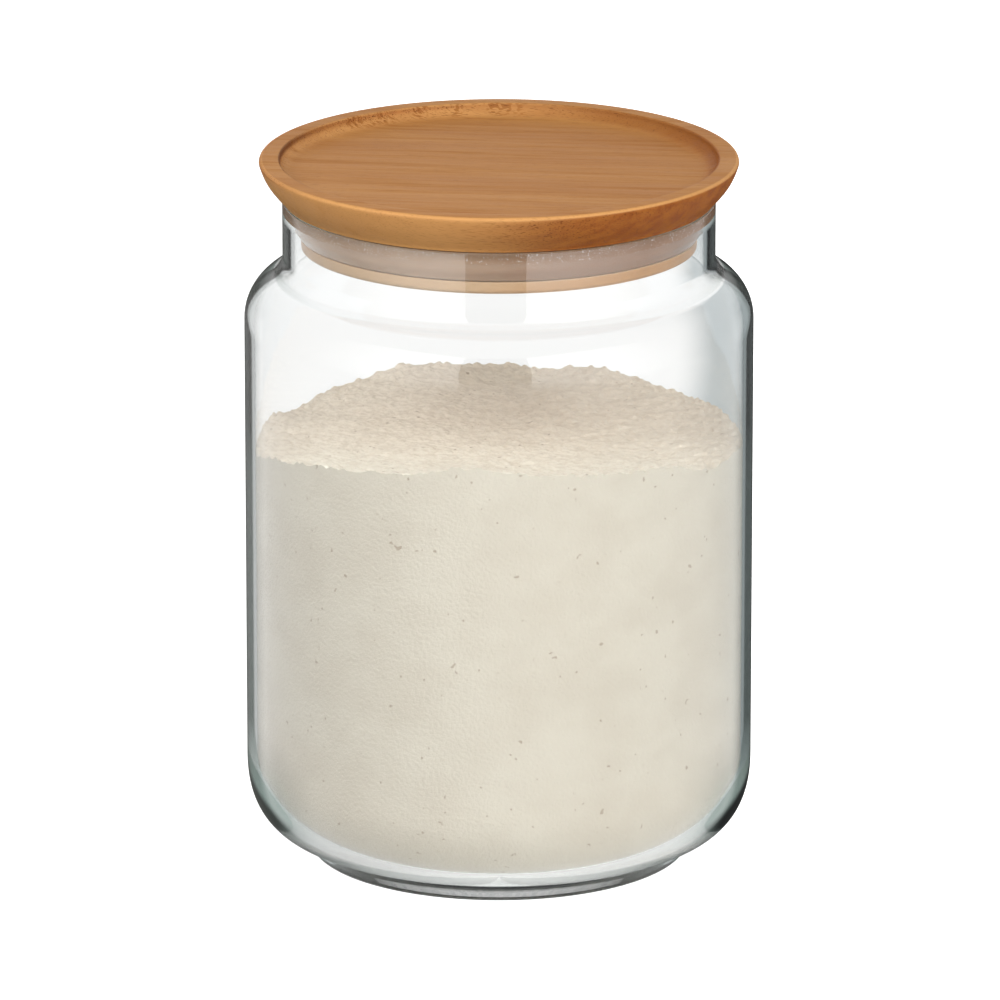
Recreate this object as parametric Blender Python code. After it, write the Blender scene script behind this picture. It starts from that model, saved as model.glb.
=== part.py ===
"""Clear glass storage jar with a turned wooden lid, a silicone seal ring and its fill of flour.

Lengths are in metres. The jar stands on Z = 0, Z is its axis, and -Y is its front.
"""

import math

import bmesh
import bpy

# Fits
CONTACT_GAP = 0.0003
MERGE_DISTANCE = 0.000001

# Glass jar, outside
BARREL_RADIUS = 0.0775
RIM_HEIGHT = 0.2054
NECK_RADIUS = 0.0658
NECK_LENGTH = 0.0160
SHOULDER_DROP = 0.0211
CORNER_HEIGHT = 0.0306
FOOT_RADIUS = 0.0580
FOOT_HEIGHT = 0.0060
FOOT_EDGE_RADIUS = 0.0010
FOOT_RING_WIDTH = 0.0065
PUSH_UP_STEP = 0.0018
PUSH_UP_RISE = 0.0032

# Glass jar, inside
BARREL_WALL = 0.0029
THROAT_WALL = 0.0033
LIP_EDGE_RADIUS = 0.0007
LIP_DEPTH = 0.0039
FLOOR_THICKNESS = 0.0085
INNER_CORNER_HEIGHT = 0.0320
INNER_FLOOR_RADIUS = 0.0540

# Wooden lid
LID_THICKNESS = 0.0125
LID_FLARE = 0.0070
LID_SIDE_BULGE = 0.0011
LID_TOP_EDGE_RADIUS = 0.0012
LID_LOW_EDGE_RADIUS = 0.0006
TRAY_RIM_WIDTH = 0.0063
TRAY_COVE_WIDTH = 0.0055
TRAY_DEPTH = 0.0039
TRAY_EDGE_RADIUS = 0.0007
PLUG_CLEARANCE = 0.0024
PLUG_DEPTH = 0.0138
PLUG_EDGE_RADIUS = 0.0015
PLUG_FLANGE_EDGE_RADIUS = 0.0004
GROOVE_DEPTH = 0.0023

# Silicone seal ring
SEAL_HEIGHT = 0.0096
SEAL_BAND_HEIGHT = 0.0022
SEAL_EDGE_RADIUS = 0.0005

# Flour
FILL_LEVEL = 0.1303
FILL_FRONT_RISE = 0.0098
FILL_WAVE_HEIGHT = 0.0011
FILL_WAVE_LENGTH = 0.0410
FILL_LUMP_HEIGHT = 0.0007
FILL_LUMP_LENGTH = 0.0170

# Shapes of the curves, each a share of the stretch that it bends
SHOULDER_HOLLOW_SHARE = 0.31
INNER_HOLLOW_SHARE = 0.43
CORNER_FULLNESS = 2.4
INNER_CORNER_FULLNESS = 2.2
FRONT_RISE_FULLNESS = 1.6

# Facets
SEGMENTS = 60
EDGE_STEPS = 3
LIP_STEPS = 5
SHOULDER_STEPS = 5
CORNER_STEPS = 10
COVE_STEPS = 5
SIDE_STEPS = 5
FILL_RINGS = 9
SMOOTH_ANGLE = math.radians(32)

QUARTER = math.pi / 2

# Heights above the table that more than one piece uses
NECK_BOTTOM = RIM_HEIGHT - NECK_LENGTH
SHOULDER_BOTTOM = NECK_BOTTOM - SHOULDER_DROP

# Radii of the cavity that the seal and the flour follow
BARREL_INSIDE = BARREL_RADIUS - BARREL_WALL
THROAT_RADIUS = NECK_RADIUS - THROAT_WALL
LIP_CROWN_RADIUS = NECK_RADIUS - LIP_EDGE_RADIUS

# Radii of the lid, whose underside ends over the neck, and of the seal's lower end
LID_FOOT_RADIUS = NECK_RADIUS
LID_RADIUS = LID_FOOT_RADIUS + LID_FLARE
TRAY_RADIUS = LID_RADIUS - TRAY_RIM_WIDTH
TRAY_FLOOR_RADIUS = TRAY_RADIUS - TRAY_COVE_WIDTH
PLUG_RADIUS = THROAT_RADIUS - PLUG_CLEARANCE
SEAL_FOOT_RADIUS = PLUG_RADIUS + CONTACT_GAP


def arc(centre, radii, start, end, steps):
    """Points of an elliptical arc about centre, from angle start to angle end, both included."""
    turns = [start + (end - start) * step / steps for step in range(steps + 1)]
    return [(centre[0] + radii[0] * math.cos(a), centre[1] + radii[1] * math.sin(a)) for a in turns]


def full_corner(wall_point, floor_point, fullness, steps):
    """A rounded corner from a vertical wall down to a level floor; 2 is an ellipse, more is squarer."""
    points = []
    for step in range(steps + 1):
        turn = QUARTER * step / steps
        across = 0 if step == steps else math.cos(turn) ** (2 / fullness)
        down = math.sin(turn) ** (2 / fullness)
        radius = floor_point[0] + (wall_point[0] - floor_point[0]) * across
        height = wall_point[1] + (floor_point[1] - wall_point[1]) * down
        points.append((radius, height))
    return points


def shoulder(neck_point, barrel_point, hollow_share, steps):
    """Two arcs that meet smoothly: a hollow one under the neck, then a round one into the barrel."""
    out = barrel_point[0] - neck_point[0]
    drop = neck_point[1] - barrel_point[1]
    both_radii = (drop * drop + out * out) / (2 * out)
    turn = math.acos(1 - out / both_radii)
    hollow = both_radii * hollow_share
    swell = both_radii - hollow
    neck_centre = (neck_point[0] + hollow, neck_point[1])
    under_neck = arc(neck_centre, (hollow, hollow), math.pi, math.pi + turn, steps)
    into_barrel = arc((barrel_point[0] - swell, barrel_point[1]), (swell, swell), turn, 0, steps)
    return under_neck + into_barrel[1:]


def bowed(start, end, bulge, steps):
    """A nearly straight stretch that swells outwards by bulge at its middle."""
    points = []
    for step in range(steps + 1):
        share = step / steps
        radius = start[0] + (end[0] - start[0]) * share + bulge * math.sin(math.pi * share)
        points.append((radius, start[1] + (end[1] - start[1]) * share))
    return points


def make_material(name, color, roughness, transmission=0, ior=1.45):
    material = bpy.data.materials.new(name)
    material.use_nodes = True
    shader = material.node_tree.nodes["Principled BSDF"]
    shader.inputs["Base Color"].default_value = (*color, 1)
    shader.inputs["Roughness"].default_value = roughness
    shader.inputs["Metallic"].default_value = 0
    shader.inputs["Transmission Weight"].default_value = transmission
    shader.inputs["IOR"].default_value = ior
    material.diffuse_color = (*color, 1)
    return material


def turned_mesh(name, outline):
    """A closed mesh turned about Z from an outline of (radius, height) points."""
    mesh = bpy.data.meshes.new(name)
    bm = bmesh.new()
    ring = [bm.verts.new((radius, 0, height)) for radius, height in outline]
    edges = [bm.edges.new(pair) for pair in zip(ring, ring[1:])]
    bmesh.ops.spin(
        bm,
        geom=ring + edges,
        cent=(0, 0, 0),
        axis=(0, 0, 1),
        angle=math.tau,
        steps=SEGMENTS,
        use_merge=True,
    )
    bmesh.ops.remove_doubles(bm, verts=bm.verts, dist=MERGE_DISTANCE)
    bmesh.ops.recalc_face_normals(bm, faces=bm.faces)
    bm.to_mesh(mesh)
    bm.free()
    return mesh


def add_piece(name, mesh, material, parent):
    """The mesh as a named object whose origin lies on the jar's axis, where its parent stands."""
    mesh.materials.append(material)
    mesh.shade_smooth()
    mesh.set_sharp_from_angle(angle=SMOOTH_ANGLE)
    piece = bpy.data.objects.new(name, mesh)
    piece.parent = parent
    bpy.context.scene.collection.objects.link(piece)
    return piece


def add_axis(name, height, parent):
    """An empty on the jar's axis, height above its parent."""
    axis = bpy.data.objects.new(name, None)
    axis.empty_display_type = "SINGLE_ARROW"
    axis.empty_display_size = NECK_RADIUS
    axis.location = (0, 0, height)
    axis.parent = parent
    bpy.context.scene.collection.objects.link(axis)
    return axis


def jar_outside():
    """From the lip's crest down the outside to the middle of the underside."""
    edge_centre = (LIP_CROWN_RADIUS, RIM_HEIGHT - LIP_EDGE_RADIUS)
    lip_edge = arc(edge_centre, (LIP_EDGE_RADIUS, LIP_EDGE_RADIUS), QUARTER, 0, EDGE_STEPS)
    flank = shoulder(
        (NECK_RADIUS, NECK_BOTTOM), (BARREL_RADIUS, SHOULDER_BOTTOM), SHOULDER_HOLLOW_SHARE, SHOULDER_STEPS
    )
    corner = full_corner(
        (BARREL_RADIUS, CORNER_HEIGHT), (FOOT_RADIUS, FOOT_HEIGHT), CORNER_FULLNESS, CORNER_STEPS
    )
    foot_centre = (FOOT_RADIUS - FOOT_EDGE_RADIUS, FOOT_EDGE_RADIUS)
    foot_edge = arc(foot_centre, (FOOT_EDGE_RADIUS, FOOT_EDGE_RADIUS), 0, -QUARTER, EDGE_STEPS)
    ring_inside = FOOT_RADIUS - FOOT_RING_WIDTH
    dome_radius = ring_inside - PUSH_UP_STEP
    dome = arc((0, PUSH_UP_STEP), (dome_radius, PUSH_UP_RISE - PUSH_UP_STEP), 0, QUARTER, EDGE_STEPS)
    return lip_edge + flank + corner + foot_edge + [(ring_inside, 0)] + dome


def jar_inside():
    """From the middle of the floor up the inside and the straight throat to the rounded lip's crest."""
    corner = full_corner(
        (BARREL_INSIDE, INNER_CORNER_HEIGHT),
        (INNER_FLOOR_RADIUS, FLOOR_THICKNESS),
        INNER_CORNER_FULLNESS,
        CORNER_STEPS,
    )
    flank = shoulder(
        (THROAT_RADIUS, NECK_BOTTOM), (BARREL_INSIDE, SHOULDER_BOTTOM), INNER_HOLLOW_SHARE, SHOULDER_STEPS
    )
    lip_radii = (LIP_CROWN_RADIUS - THROAT_RADIUS, LIP_DEPTH)
    lip = arc((LIP_CROWN_RADIUS, RIM_HEIGHT - LIP_DEPTH), lip_radii, math.pi, QUARTER, LIP_STEPS)
    return [(0, FLOOR_THICKNESS)] + corner[::-1] + flank[::-1] + lip[:-1]


def add_glass_jar(parent):
    glass = make_material("clear_glass", (0.86, 0.93, 0.92), 0.03, transmission=1, ior=1.5)
    outline = jar_inside() + jar_outside()
    return add_piece("glass_jar", turned_mesh("glass_jar", outline), glass, parent)


def lid_outline():
    """Outline of the lid, from the middle of its tray to the middle of its plug; 0 is the jar's rim."""
    under = CONTACT_GAP
    top = under + LID_THICKNESS
    cove_radii = (TRAY_RADIUS - TRAY_FLOOR_RADIUS, TRAY_DEPTH - TRAY_EDGE_RADIUS)
    cove = arc((TRAY_FLOOR_RADIUS, top - TRAY_EDGE_RADIUS), cove_radii, -QUARTER, 0, COVE_STEPS)
    lip_centre = (TRAY_RADIUS + TRAY_EDGE_RADIUS, top - TRAY_EDGE_RADIUS)
    tray_lip = arc(lip_centre, (TRAY_EDGE_RADIUS, TRAY_EDGE_RADIUS), math.pi, QUARTER, EDGE_STEPS)
    rim_centre = (LID_RADIUS - LID_TOP_EDGE_RADIUS, top - LID_TOP_EDGE_RADIUS)
    rim = arc(rim_centre, (LID_TOP_EDGE_RADIUS, LID_TOP_EDGE_RADIUS), QUARTER, 0, EDGE_STEPS)
    side = bowed(rim[-1], (LID_FOOT_RADIUS, under + LID_LOW_EDGE_RADIUS), LID_SIDE_BULGE, SIDE_STEPS)
    low_centre = (LID_FOOT_RADIUS - LID_LOW_EDGE_RADIUS, under + LID_LOW_EDGE_RADIUS)
    low_edge = arc(low_centre, (LID_LOW_EDGE_RADIUS, LID_LOW_EDGE_RADIUS), 0, -QUARTER, EDGE_STEPS)
    core_radius = PLUG_RADIUS - GROOVE_DEPTH
    flange_top = -SEAL_HEIGHT - CONTACT_GAP
    groove = [(core_radius, under), (core_radius, flange_top)]
    flange_edge = arc(
        (PLUG_RADIUS - PLUG_FLANGE_EDGE_RADIUS, flange_top - PLUG_FLANGE_EDGE_RADIUS),
        (PLUG_FLANGE_EDGE_RADIUS, PLUG_FLANGE_EDGE_RADIUS),
        QUARTER,
        0,
        EDGE_STEPS,
    )
    plug_centre = (PLUG_RADIUS - PLUG_EDGE_RADIUS, PLUG_EDGE_RADIUS - PLUG_DEPTH)
    plug_edge = arc(plug_centre, (PLUG_EDGE_RADIUS, PLUG_EDGE_RADIUS), 0, -QUARTER, EDGE_STEPS)
    tray = [(0, top - TRAY_DEPTH)] + cove + tray_lip[1:]
    return tray + rim + side[1:] + low_edge[1:] + groove + flange_edge + plug_edge + [(0, -PLUG_DEPTH)]


def add_wooden_lid(parent):
    wood = make_material("oiled_wood", (0.40, 0.19, 0.07), 0.45)
    return add_piece("wooden_lid", turned_mesh("wooden_lid", lid_outline()), wood, parent)


def seal_outline():
    """Closed outline of the seal: a crown in the lip, a band along the throat and a skirt to the plug."""
    inside = PLUG_RADIUS - GROOVE_DEPTH + CONTACT_GAP
    crown_radii = (LIP_CROWN_RADIUS - THROAT_RADIUS + CONTACT_GAP, LIP_DEPTH + CONTACT_GAP)
    level_with_rim = math.pi - math.asin(LIP_DEPTH / crown_radii[1])
    crown = arc((LIP_CROWN_RADIUS, -LIP_DEPTH), crown_radii, level_with_rim, math.pi, LIP_STEPS)
    band_foot = (THROAT_RADIUS - CONTACT_GAP, -LIP_DEPTH - SEAL_BAND_HEIGHT)
    foot_centre = (SEAL_FOOT_RADIUS - SEAL_EDGE_RADIUS, SEAL_EDGE_RADIUS - SEAL_HEIGHT)
    foot = arc(foot_centre, (SEAL_EDGE_RADIUS, SEAL_EDGE_RADIUS), 0, -QUARTER, EDGE_STEPS)
    return [(inside, 0)] + crown + [band_foot] + foot + [(inside, -SEAL_HEIGHT), (inside, 0)]


def add_seal_ring(parent):
    silicone = make_material("clear_silicone", (0.62, 0.55, 0.50), 0.5)
    return add_piece("seal_ring", turned_mesh("seal_ring", seal_outline()), silicone, parent)


def fill_top(x, y):
    """Height of the flour's uneven top: heaped against the front, with low waves and lumps."""
    forward = max(-y / BARREL_INSIDE, 0)
    heap = FILL_FRONT_RISE * forward**FRONT_RISE_FULLNESS
    wave = math.sin(math.tau * x / FILL_WAVE_LENGTH) * math.cos(math.tau * y / FILL_WAVE_LENGTH)
    lump = math.sin(math.tau * (x + y) / FILL_LUMP_LENGTH) * math.sin(math.tau * (x - y) / FILL_LUMP_LENGTH)
    return FILL_LEVEL + heap + FILL_WAVE_HEIGHT * wave + FILL_LUMP_HEIGHT * lump


def add_flour_fill(parent):
    """The flour, which lies against the floor, the corner and the wall of the cavity."""
    flour = make_material("flour", (0.78, 0.72, 0.62), 0.95)
    wall = BARREL_INSIDE - CONTACT_GAP
    floor = FLOOR_THICKNESS + CONTACT_GAP
    rings = [wall * ring / FILL_RINGS for ring in range(FILL_RINGS)]
    corner = full_corner(
        (wall, INNER_CORNER_HEIGHT), (INNER_FLOOR_RADIUS, floor), INNER_CORNER_FULLNESS, CORNER_STEPS
    )
    outline = [(radius, FILL_LEVEL) for radius in rings + [wall]] + corner + [(0, floor)]
    mesh = turned_mesh("flour_fill", outline)
    for vertex in mesh.vertices:
        if vertex.co.z > INNER_CORNER_HEIGHT + MERGE_DISTANCE:
            vertex.co.z = fill_top(vertex.co.x, vertex.co.y)
    return add_piece("flour_fill", mesh, flour, parent)


def clear_scene():
    for leftover in list(bpy.data.objects):
        bpy.data.objects.remove(leftover)


def build():
    clear_scene()
    jar_axis = add_axis("jar_axis", 0, None)
    add_glass_jar(jar_axis)
    add_flour_fill(jar_axis)
    lift_axis = add_axis("lid_lift_axis", RIM_HEIGHT, jar_axis)
    add_seal_ring(lift_axis)
    turn_axis = add_axis("lid_turn_axis", 0, lift_axis)
    add_wooden_lid(turn_axis)


build()
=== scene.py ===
"""The looks of the glass storage jar: clear pressed glass, an oiled wooden lid, a silicone seal and flour.

Lengths are in metres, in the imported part's own frame: the jar stands on Z = 0, Z is its axis, and -Y is
its front.
"""

import math

import bmesh
import bpy
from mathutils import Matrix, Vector, noise


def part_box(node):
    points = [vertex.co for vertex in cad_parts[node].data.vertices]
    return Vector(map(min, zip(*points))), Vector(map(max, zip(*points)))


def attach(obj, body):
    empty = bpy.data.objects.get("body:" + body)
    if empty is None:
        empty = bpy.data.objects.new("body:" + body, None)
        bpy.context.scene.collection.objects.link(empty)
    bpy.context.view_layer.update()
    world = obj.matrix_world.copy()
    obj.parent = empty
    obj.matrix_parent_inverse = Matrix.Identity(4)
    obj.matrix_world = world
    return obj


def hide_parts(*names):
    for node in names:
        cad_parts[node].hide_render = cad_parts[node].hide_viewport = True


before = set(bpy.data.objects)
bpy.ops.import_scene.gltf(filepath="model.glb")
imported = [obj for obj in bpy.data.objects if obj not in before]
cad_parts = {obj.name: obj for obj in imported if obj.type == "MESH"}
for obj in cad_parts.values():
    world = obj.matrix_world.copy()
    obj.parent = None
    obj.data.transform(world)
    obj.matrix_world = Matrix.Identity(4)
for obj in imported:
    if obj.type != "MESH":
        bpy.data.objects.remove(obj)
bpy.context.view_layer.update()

# Sizes that the frame gives
JAR_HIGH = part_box("glass_jar")[1]
LID_LOW, LID_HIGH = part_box("wooden_lid")
BARREL_RADIUS = JAR_HIGH.x
RIM_HEIGHT = JAR_HIGH.z
LID_RADIUS = LID_HIGH.x
LID_TOP = LID_HIGH.z
PLUG_BOTTOM = LID_LOW.z
SEAL_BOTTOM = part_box("seal_ring")[0].z

# Glass, outside
NECK_RADIUS = 0.0658
NECK_LENGTH = 0.0178
SHOULDER_DROP = 0.0193
CORNER_HEIGHT = 0.0306
FOOT_RADIUS = 0.0580
FOOT_HEIGHT = 0.0060
FOOT_EDGE_RADIUS = 0.0010
FOOT_RING_WIDTH = 0.0065
PUSH_UP_STEP = 0.0018
PUSH_UP_RISE = 0.0032

# Glass, inside
BARREL_WALL = 0.0029
THROAT_WALL = 0.0033
LIP_EDGE_RADIUS = 0.0007
LIP_DEPTH = 0.0039
FLOOR_THICKNESS = 0.0080
INNER_CORNER_HEIGHT = 0.0320
INNER_FLOOR_RADIUS = 0.0540
INNER_SHOULDER_SAG = 0.00057

# Wooden lid
LID_UNDER = 0.0003
LID_FLARE = 0.0070
LID_SIDE_BULGE = 0.0011
LID_TOP_EDGE_RADIUS = 0.0012
LID_LOW_EDGE_RADIUS = 0.0006
TRAY_RIM_WIDTH = 0.0063
TRAY_COVE_WIDTH = 0.0055
TRAY_DEPTH = 0.0039
TRAY_EDGE_RADIUS = 0.0007
TRAY_LINE_SHIFT = 0.0001
PLUG_CLEARANCE = 0.0024
PLUG_EDGE_RADIUS = 0.0015
PLUG_FLANGE_EDGE_RADIUS = 0.0004
GROOVE_DEPTH = 0.0023

# Seal
SEAL_GAP = 0.0003
SEAL_PRESS = 0.00006
SEAL_BAND_HEIGHT = 0.0022
SEAL_EDGE_RADIUS = 0.0005
SEAL_CROWN_TURN = math.radians(112)

# Flour: FILL_EDGE is its height against the wall, by degrees from the front round the right
FILL_GAP = 0.0002
FILL_CENTRE = 0.1312
FILL_DISH_FULLNESS = 2.4
FILL_EDGE = (
    (-180, 0.1315), (-155, 0.1330), (-140, 0.1305), (-120, 0.1280), (-105, 0.1305), (-90, 0.1295),
    (-75, 0.1300), (-60, 0.1335), (-45, 0.1360), (-25, 0.1380), (-5, 0.1410), (10, 0.1390), (40, 0.1365),
    (60, 0.1315), (75, 0.1325), (100, 0.1305), (135, 0.1305), (155, 0.1325), (170, 0.1305),
)
SWELL_HEIGHT = 0.0007
SWELL_LENGTH = 0.0300
PATCH_LENGTH = 0.0150
PATCH_MIDDLE = 0.5
LUMP_HEIGHT = 0.0008
LUMP_LENGTH = 0.0060
CRUMB_HEIGHT = 0.00042
CRUMB_LENGTH = 0.0024
CLUMP_REACH = 0.62
LOOSE_START = 0.84
LOOSE_MORE = 1.3

# Shares and powers of the curves
SHOULDER_HOLLOW_SHARE = 0.31
INNER_HOLLOW_SHARE = 0.364
CORNER_FULLNESS = 2.4
INNER_CORNER_FULLNESS = 2.2

# Steps of the fine meshes
SEGMENTS = 360
EDGE_STEPS = 6
LIP_STEPS = 12
SHOULDER_STEPS = 14
CORNER_STEPS = 32
COVE_STEPS = 14
SIDE_STEPS = 10
FILL_RINGS = 170
FILL_SEGMENTS = 600
LONGEST_STEP = 0.002
MERGE_DISTANCE = 0.000001
SMOOTH_ANGLE = math.radians(38)

# Camera: the fitted eye, its downward pitch and its lens
CAMERA_PITCH = 16.4
CAMERA_DISTANCE = 3.2
AIM_HEIGHT = 0.108
AIM_RIGHT = 0.000306
AIM_UP = 0.001805
LENS_MM = 376.55
SENSOR_MM = 36

QUARTER = math.pi / 2

NECK_BOTTOM = RIM_HEIGHT - NECK_LENGTH
SHOULDER_BOTTOM = NECK_BOTTOM - SHOULDER_DROP
BARREL_INSIDE = BARREL_RADIUS - BARREL_WALL
THROAT_RADIUS = NECK_RADIUS - THROAT_WALL
LIP_CROWN_RADIUS = NECK_RADIUS - LIP_EDGE_RADIUS
LIP_BOTTOM = RIM_HEIGHT - LIP_DEPTH
LID_FOOT_RADIUS = LID_RADIUS - LID_FLARE
TRAY_RADIUS = LID_RADIUS - TRAY_RIM_WIDTH
TRAY_FLOOR_RADIUS = TRAY_RADIUS - TRAY_COVE_WIDTH
PLUG_RADIUS = THROAT_RADIUS - PLUG_CLEARANCE
GROOVE_RADIUS = PLUG_RADIUS - GROOVE_DEPTH


# Shapes

def arc(centre, radii, start, end, steps):
    """Points of an elliptical arc about centre, from angle start to angle end, both included."""
    turns = [start + (end - start) * step / steps for step in range(steps + 1)]
    return [(centre[0] + radii[0] * math.cos(a), centre[1] + radii[1] * math.sin(a)) for a in turns]


def full_corner(wall_point, floor_point, fullness, steps):
    """A rounded corner from a vertical wall down to a level floor; 2 is an ellipse, more is squarer."""
    points = []
    for step in range(steps + 1):
        turn = QUARTER * step / steps
        across = 0 if step == steps else math.cos(turn) ** (2 / fullness)
        down = math.sin(turn) ** (2 / fullness)
        radius = floor_point[0] + (wall_point[0] - floor_point[0]) * across
        points.append((radius, wall_point[1] + (floor_point[1] - wall_point[1]) * down))
    return points


def shoulder(neck_point, barrel_point, hollow_share, steps):
    """Two arcs that meet smoothly: a hollow one under the neck, then a round one into the barrel."""
    out = barrel_point[0] - neck_point[0]
    drop = neck_point[1] - barrel_point[1]
    both_radii = (drop * drop + out * out) / (2 * out)
    turn = math.acos(1 - out / both_radii)
    hollow = both_radii * hollow_share
    swell = both_radii - hollow
    hollow_centre = (neck_point[0] + hollow, neck_point[1])
    swell_centre = (barrel_point[0] - swell, barrel_point[1])
    under_neck = arc(hollow_centre, (hollow, hollow), math.pi, math.pi + turn, steps)
    into_barrel = arc(swell_centre, (swell, swell), turn, 0, steps)
    return under_neck + into_barrel[1:]


def bowed(start, end, bulge, steps):
    """A nearly straight stretch that swells outwards by bulge at its middle."""
    points = []
    for step in range(steps + 1):
        share = step / steps
        radius = start[0] + (end[0] - start[0]) * share + bulge * math.sin(math.pi * share)
        points.append((radius, start[1] + (end[1] - start[1]) * share))
    return points


def ring_mesh(name, rings):
    """A mesh of quads between rings of as many points each; a ring of one point is a pole."""
    points = []
    starts = []
    for ring in rings:
        starts.append(len(points))
        points += ring
    faces = []
    for inner, outer in zip(range(len(rings)), range(1, len(rings))):
        steps = max(len(rings[inner]), len(rings[outer]))
        for step in range(steps):
            after = (step + 1) % steps
            near, far = starts[inner], starts[outer]
            if len(rings[inner]) == 1:
                faces.append((near, far + step, far + after))
            elif len(rings[outer]) == 1:
                faces.append((near + after, near + step, far))
            else:
                faces.append((near + step, far + step, far + after, near + after))
    mesh = bpy.data.meshes.new(name)
    mesh.from_pydata(points, [], faces)
    bm = bmesh.new()
    bm.from_mesh(mesh)
    bmesh.ops.remove_doubles(bm, verts=bm.verts, dist=MERGE_DISTANCE)
    bmesh.ops.recalc_face_normals(bm, faces=bm.faces)
    bm.to_mesh(mesh)
    bm.free()
    return mesh


def finely(outline):
    """The outline with its long straight stretches cut into short ones, which smooth shading needs."""
    points = [outline[0]]
    for start, end in zip(outline, outline[1:]):
        steps = max(1, math.ceil(math.dist(start, end) / LONGEST_STEP))
        for step in range(1, steps + 1):
            share = step / steps
            points.append((start[0] + (end[0] - start[0]) * share, start[1] + (end[1] - start[1]) * share))
    return points


def turned_ring(radius, height, segments):
    """The points of one ring about Z, or the one point on the axis."""
    if radius == 0:
        return [(0, 0, height)]
    turns = [math.tau * step / segments for step in range(segments)]
    return [(radius * math.sin(turn), -radius * math.cos(turn), height) for turn in turns]


def turned_mesh(name, outline):
    """A closed mesh turned about Z from an outline of (radius, height) points."""
    return ring_mesh(name, [turned_ring(radius, height, SEGMENTS) for radius, height in finely(outline)])


def add_piece(name, mesh, material, body):
    """The mesh as a smooth-shaded piece that rides on a body."""
    mesh.materials.append(material)
    mesh.shade_smooth()
    mesh.set_sharp_from_angle(angle=SMOOTH_ANGLE)
    piece = bpy.data.objects.new(name, mesh)
    bpy.context.scene.collection.objects.link(piece)
    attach(piece, body)
    return piece


# Node helpers

WHITE = (1, 1, 1)
MIX_SHARE, MIX_FIRST, MIX_SECOND, MIX_RESULT = 0, 6, 7, 2


def new_material(name):
    """A material with its node tree and its Principled shader."""
    material = bpy.data.materials.new(name)
    material.use_nodes = True
    return material, material.node_tree, material.node_tree.nodes["Principled BSDF"]


def set_inputs(tree, node, inputs):
    """Sets each named input of a node to a value, or links it to a socket."""
    for key, value in inputs.items():
        if isinstance(value, bpy.types.NodeSocket):
            tree.links.new(value, node.inputs[key])
        else:
            node.inputs[key].default_value = value


def set_output(tree, inputs):
    """Links sockets to the material's output."""
    set_inputs(tree, tree.nodes["Material Output"], inputs)


def add_node(tree, kind, inputs=None, **settings):
    """A node with its settings and its inputs."""
    node = tree.nodes.new(kind)
    for key, value in settings.items():
        setattr(node, key, value)
    set_inputs(tree, node, inputs or {})
    return node


def math_node(tree, operation, first, second=0.0):
    """The number that a Math node makes of one or two others."""
    return add_node(tree, "ShaderNodeMath", {0: first, 1: second}, operation=operation).outputs[0]


def product(tree, *factors):
    """The factors multiplied together."""
    result = factors[0]
    for factor in factors[1:]:
        result = math_node(tree, "MULTIPLY", result, factor)
    return result


def vector_math(tree, operation, first, second=(0, 0, 0)):
    """The vector that a Vector Math node makes, or its number for a length or a dot product."""
    node = add_node(tree, "ShaderNodeVectorMath", {0: first, 1: second}, operation=operation)
    return node.outputs["Value" if operation in ("LENGTH", "DOT_PRODUCT") else "Vector"]


def split(tree, vector):
    """The X, Y and Z of a vector."""
    return add_node(tree, "ShaderNodeSeparateXYZ", {0: vector}).outputs


def spoke_to(tree, spot):
    """The level direction from the jar's axis to a spot."""
    return vector_math(tree, "NORMALIZE", vector_math(tree, "MULTIPLY", spot, (1, 1, 0)))


def remap(tree, value, low, high, to_low=0.0, to_high=1.0, kind="SMOOTHSTEP"):
    """A value taken from one span to another, eased at both ends unless kind is LINEAR."""
    inputs = {"Value": value, "From Min": low, "From Max": high, "To Min": to_low, "To Max": to_high}
    return add_node(tree, "ShaderNodeMapRange", inputs, interpolation_type=kind).outputs[0]


def mix_colour(tree, share, first, second):
    """A share of the way from one colour to another; each is a socket or three numbers."""
    node = add_node(tree, "ShaderNodeMix", {MIX_SHARE: share}, data_type="RGBA", clamp_factor=True)
    for index, colour in ((MIX_FIRST, first), (MIX_SECOND, second)):
        set_inputs(tree, node, {index: colour if isinstance(colour, bpy.types.NodeSocket) else (*colour, 1)})
    return node.outputs[MIX_RESULT]


def noise_at(tree, vector, counts, detail=3.0, roughness=0.55, distortion=0.0):
    """Noise on a vector, which is first scaled by three counts per metre."""
    settings = {"Scale": 1.0, "Detail": detail, "Roughness": roughness, "Distortion": distortion}
    scaled = vector_math(tree, "MULTIPLY", vector, counts)
    return add_node(tree, "ShaderNodeTexNoise", {"Vector": scaled, **settings}).outputs[0]


def emission(tree, colour, strength):
    """A surface that glows."""
    return add_node(tree, "ShaderNodeEmission", {"Color": colour, "Strength": strength}).outputs[0]


def transparent(tree, tint):
    """A surface that light goes straight through."""
    return add_node(tree, "ShaderNodeBsdfTransparent", {"Color": (*tint, 1)}).outputs[0]


# A name that ends in SPAN holds what remap takes: a value's low and high, and what they become

# Clear glass

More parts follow.
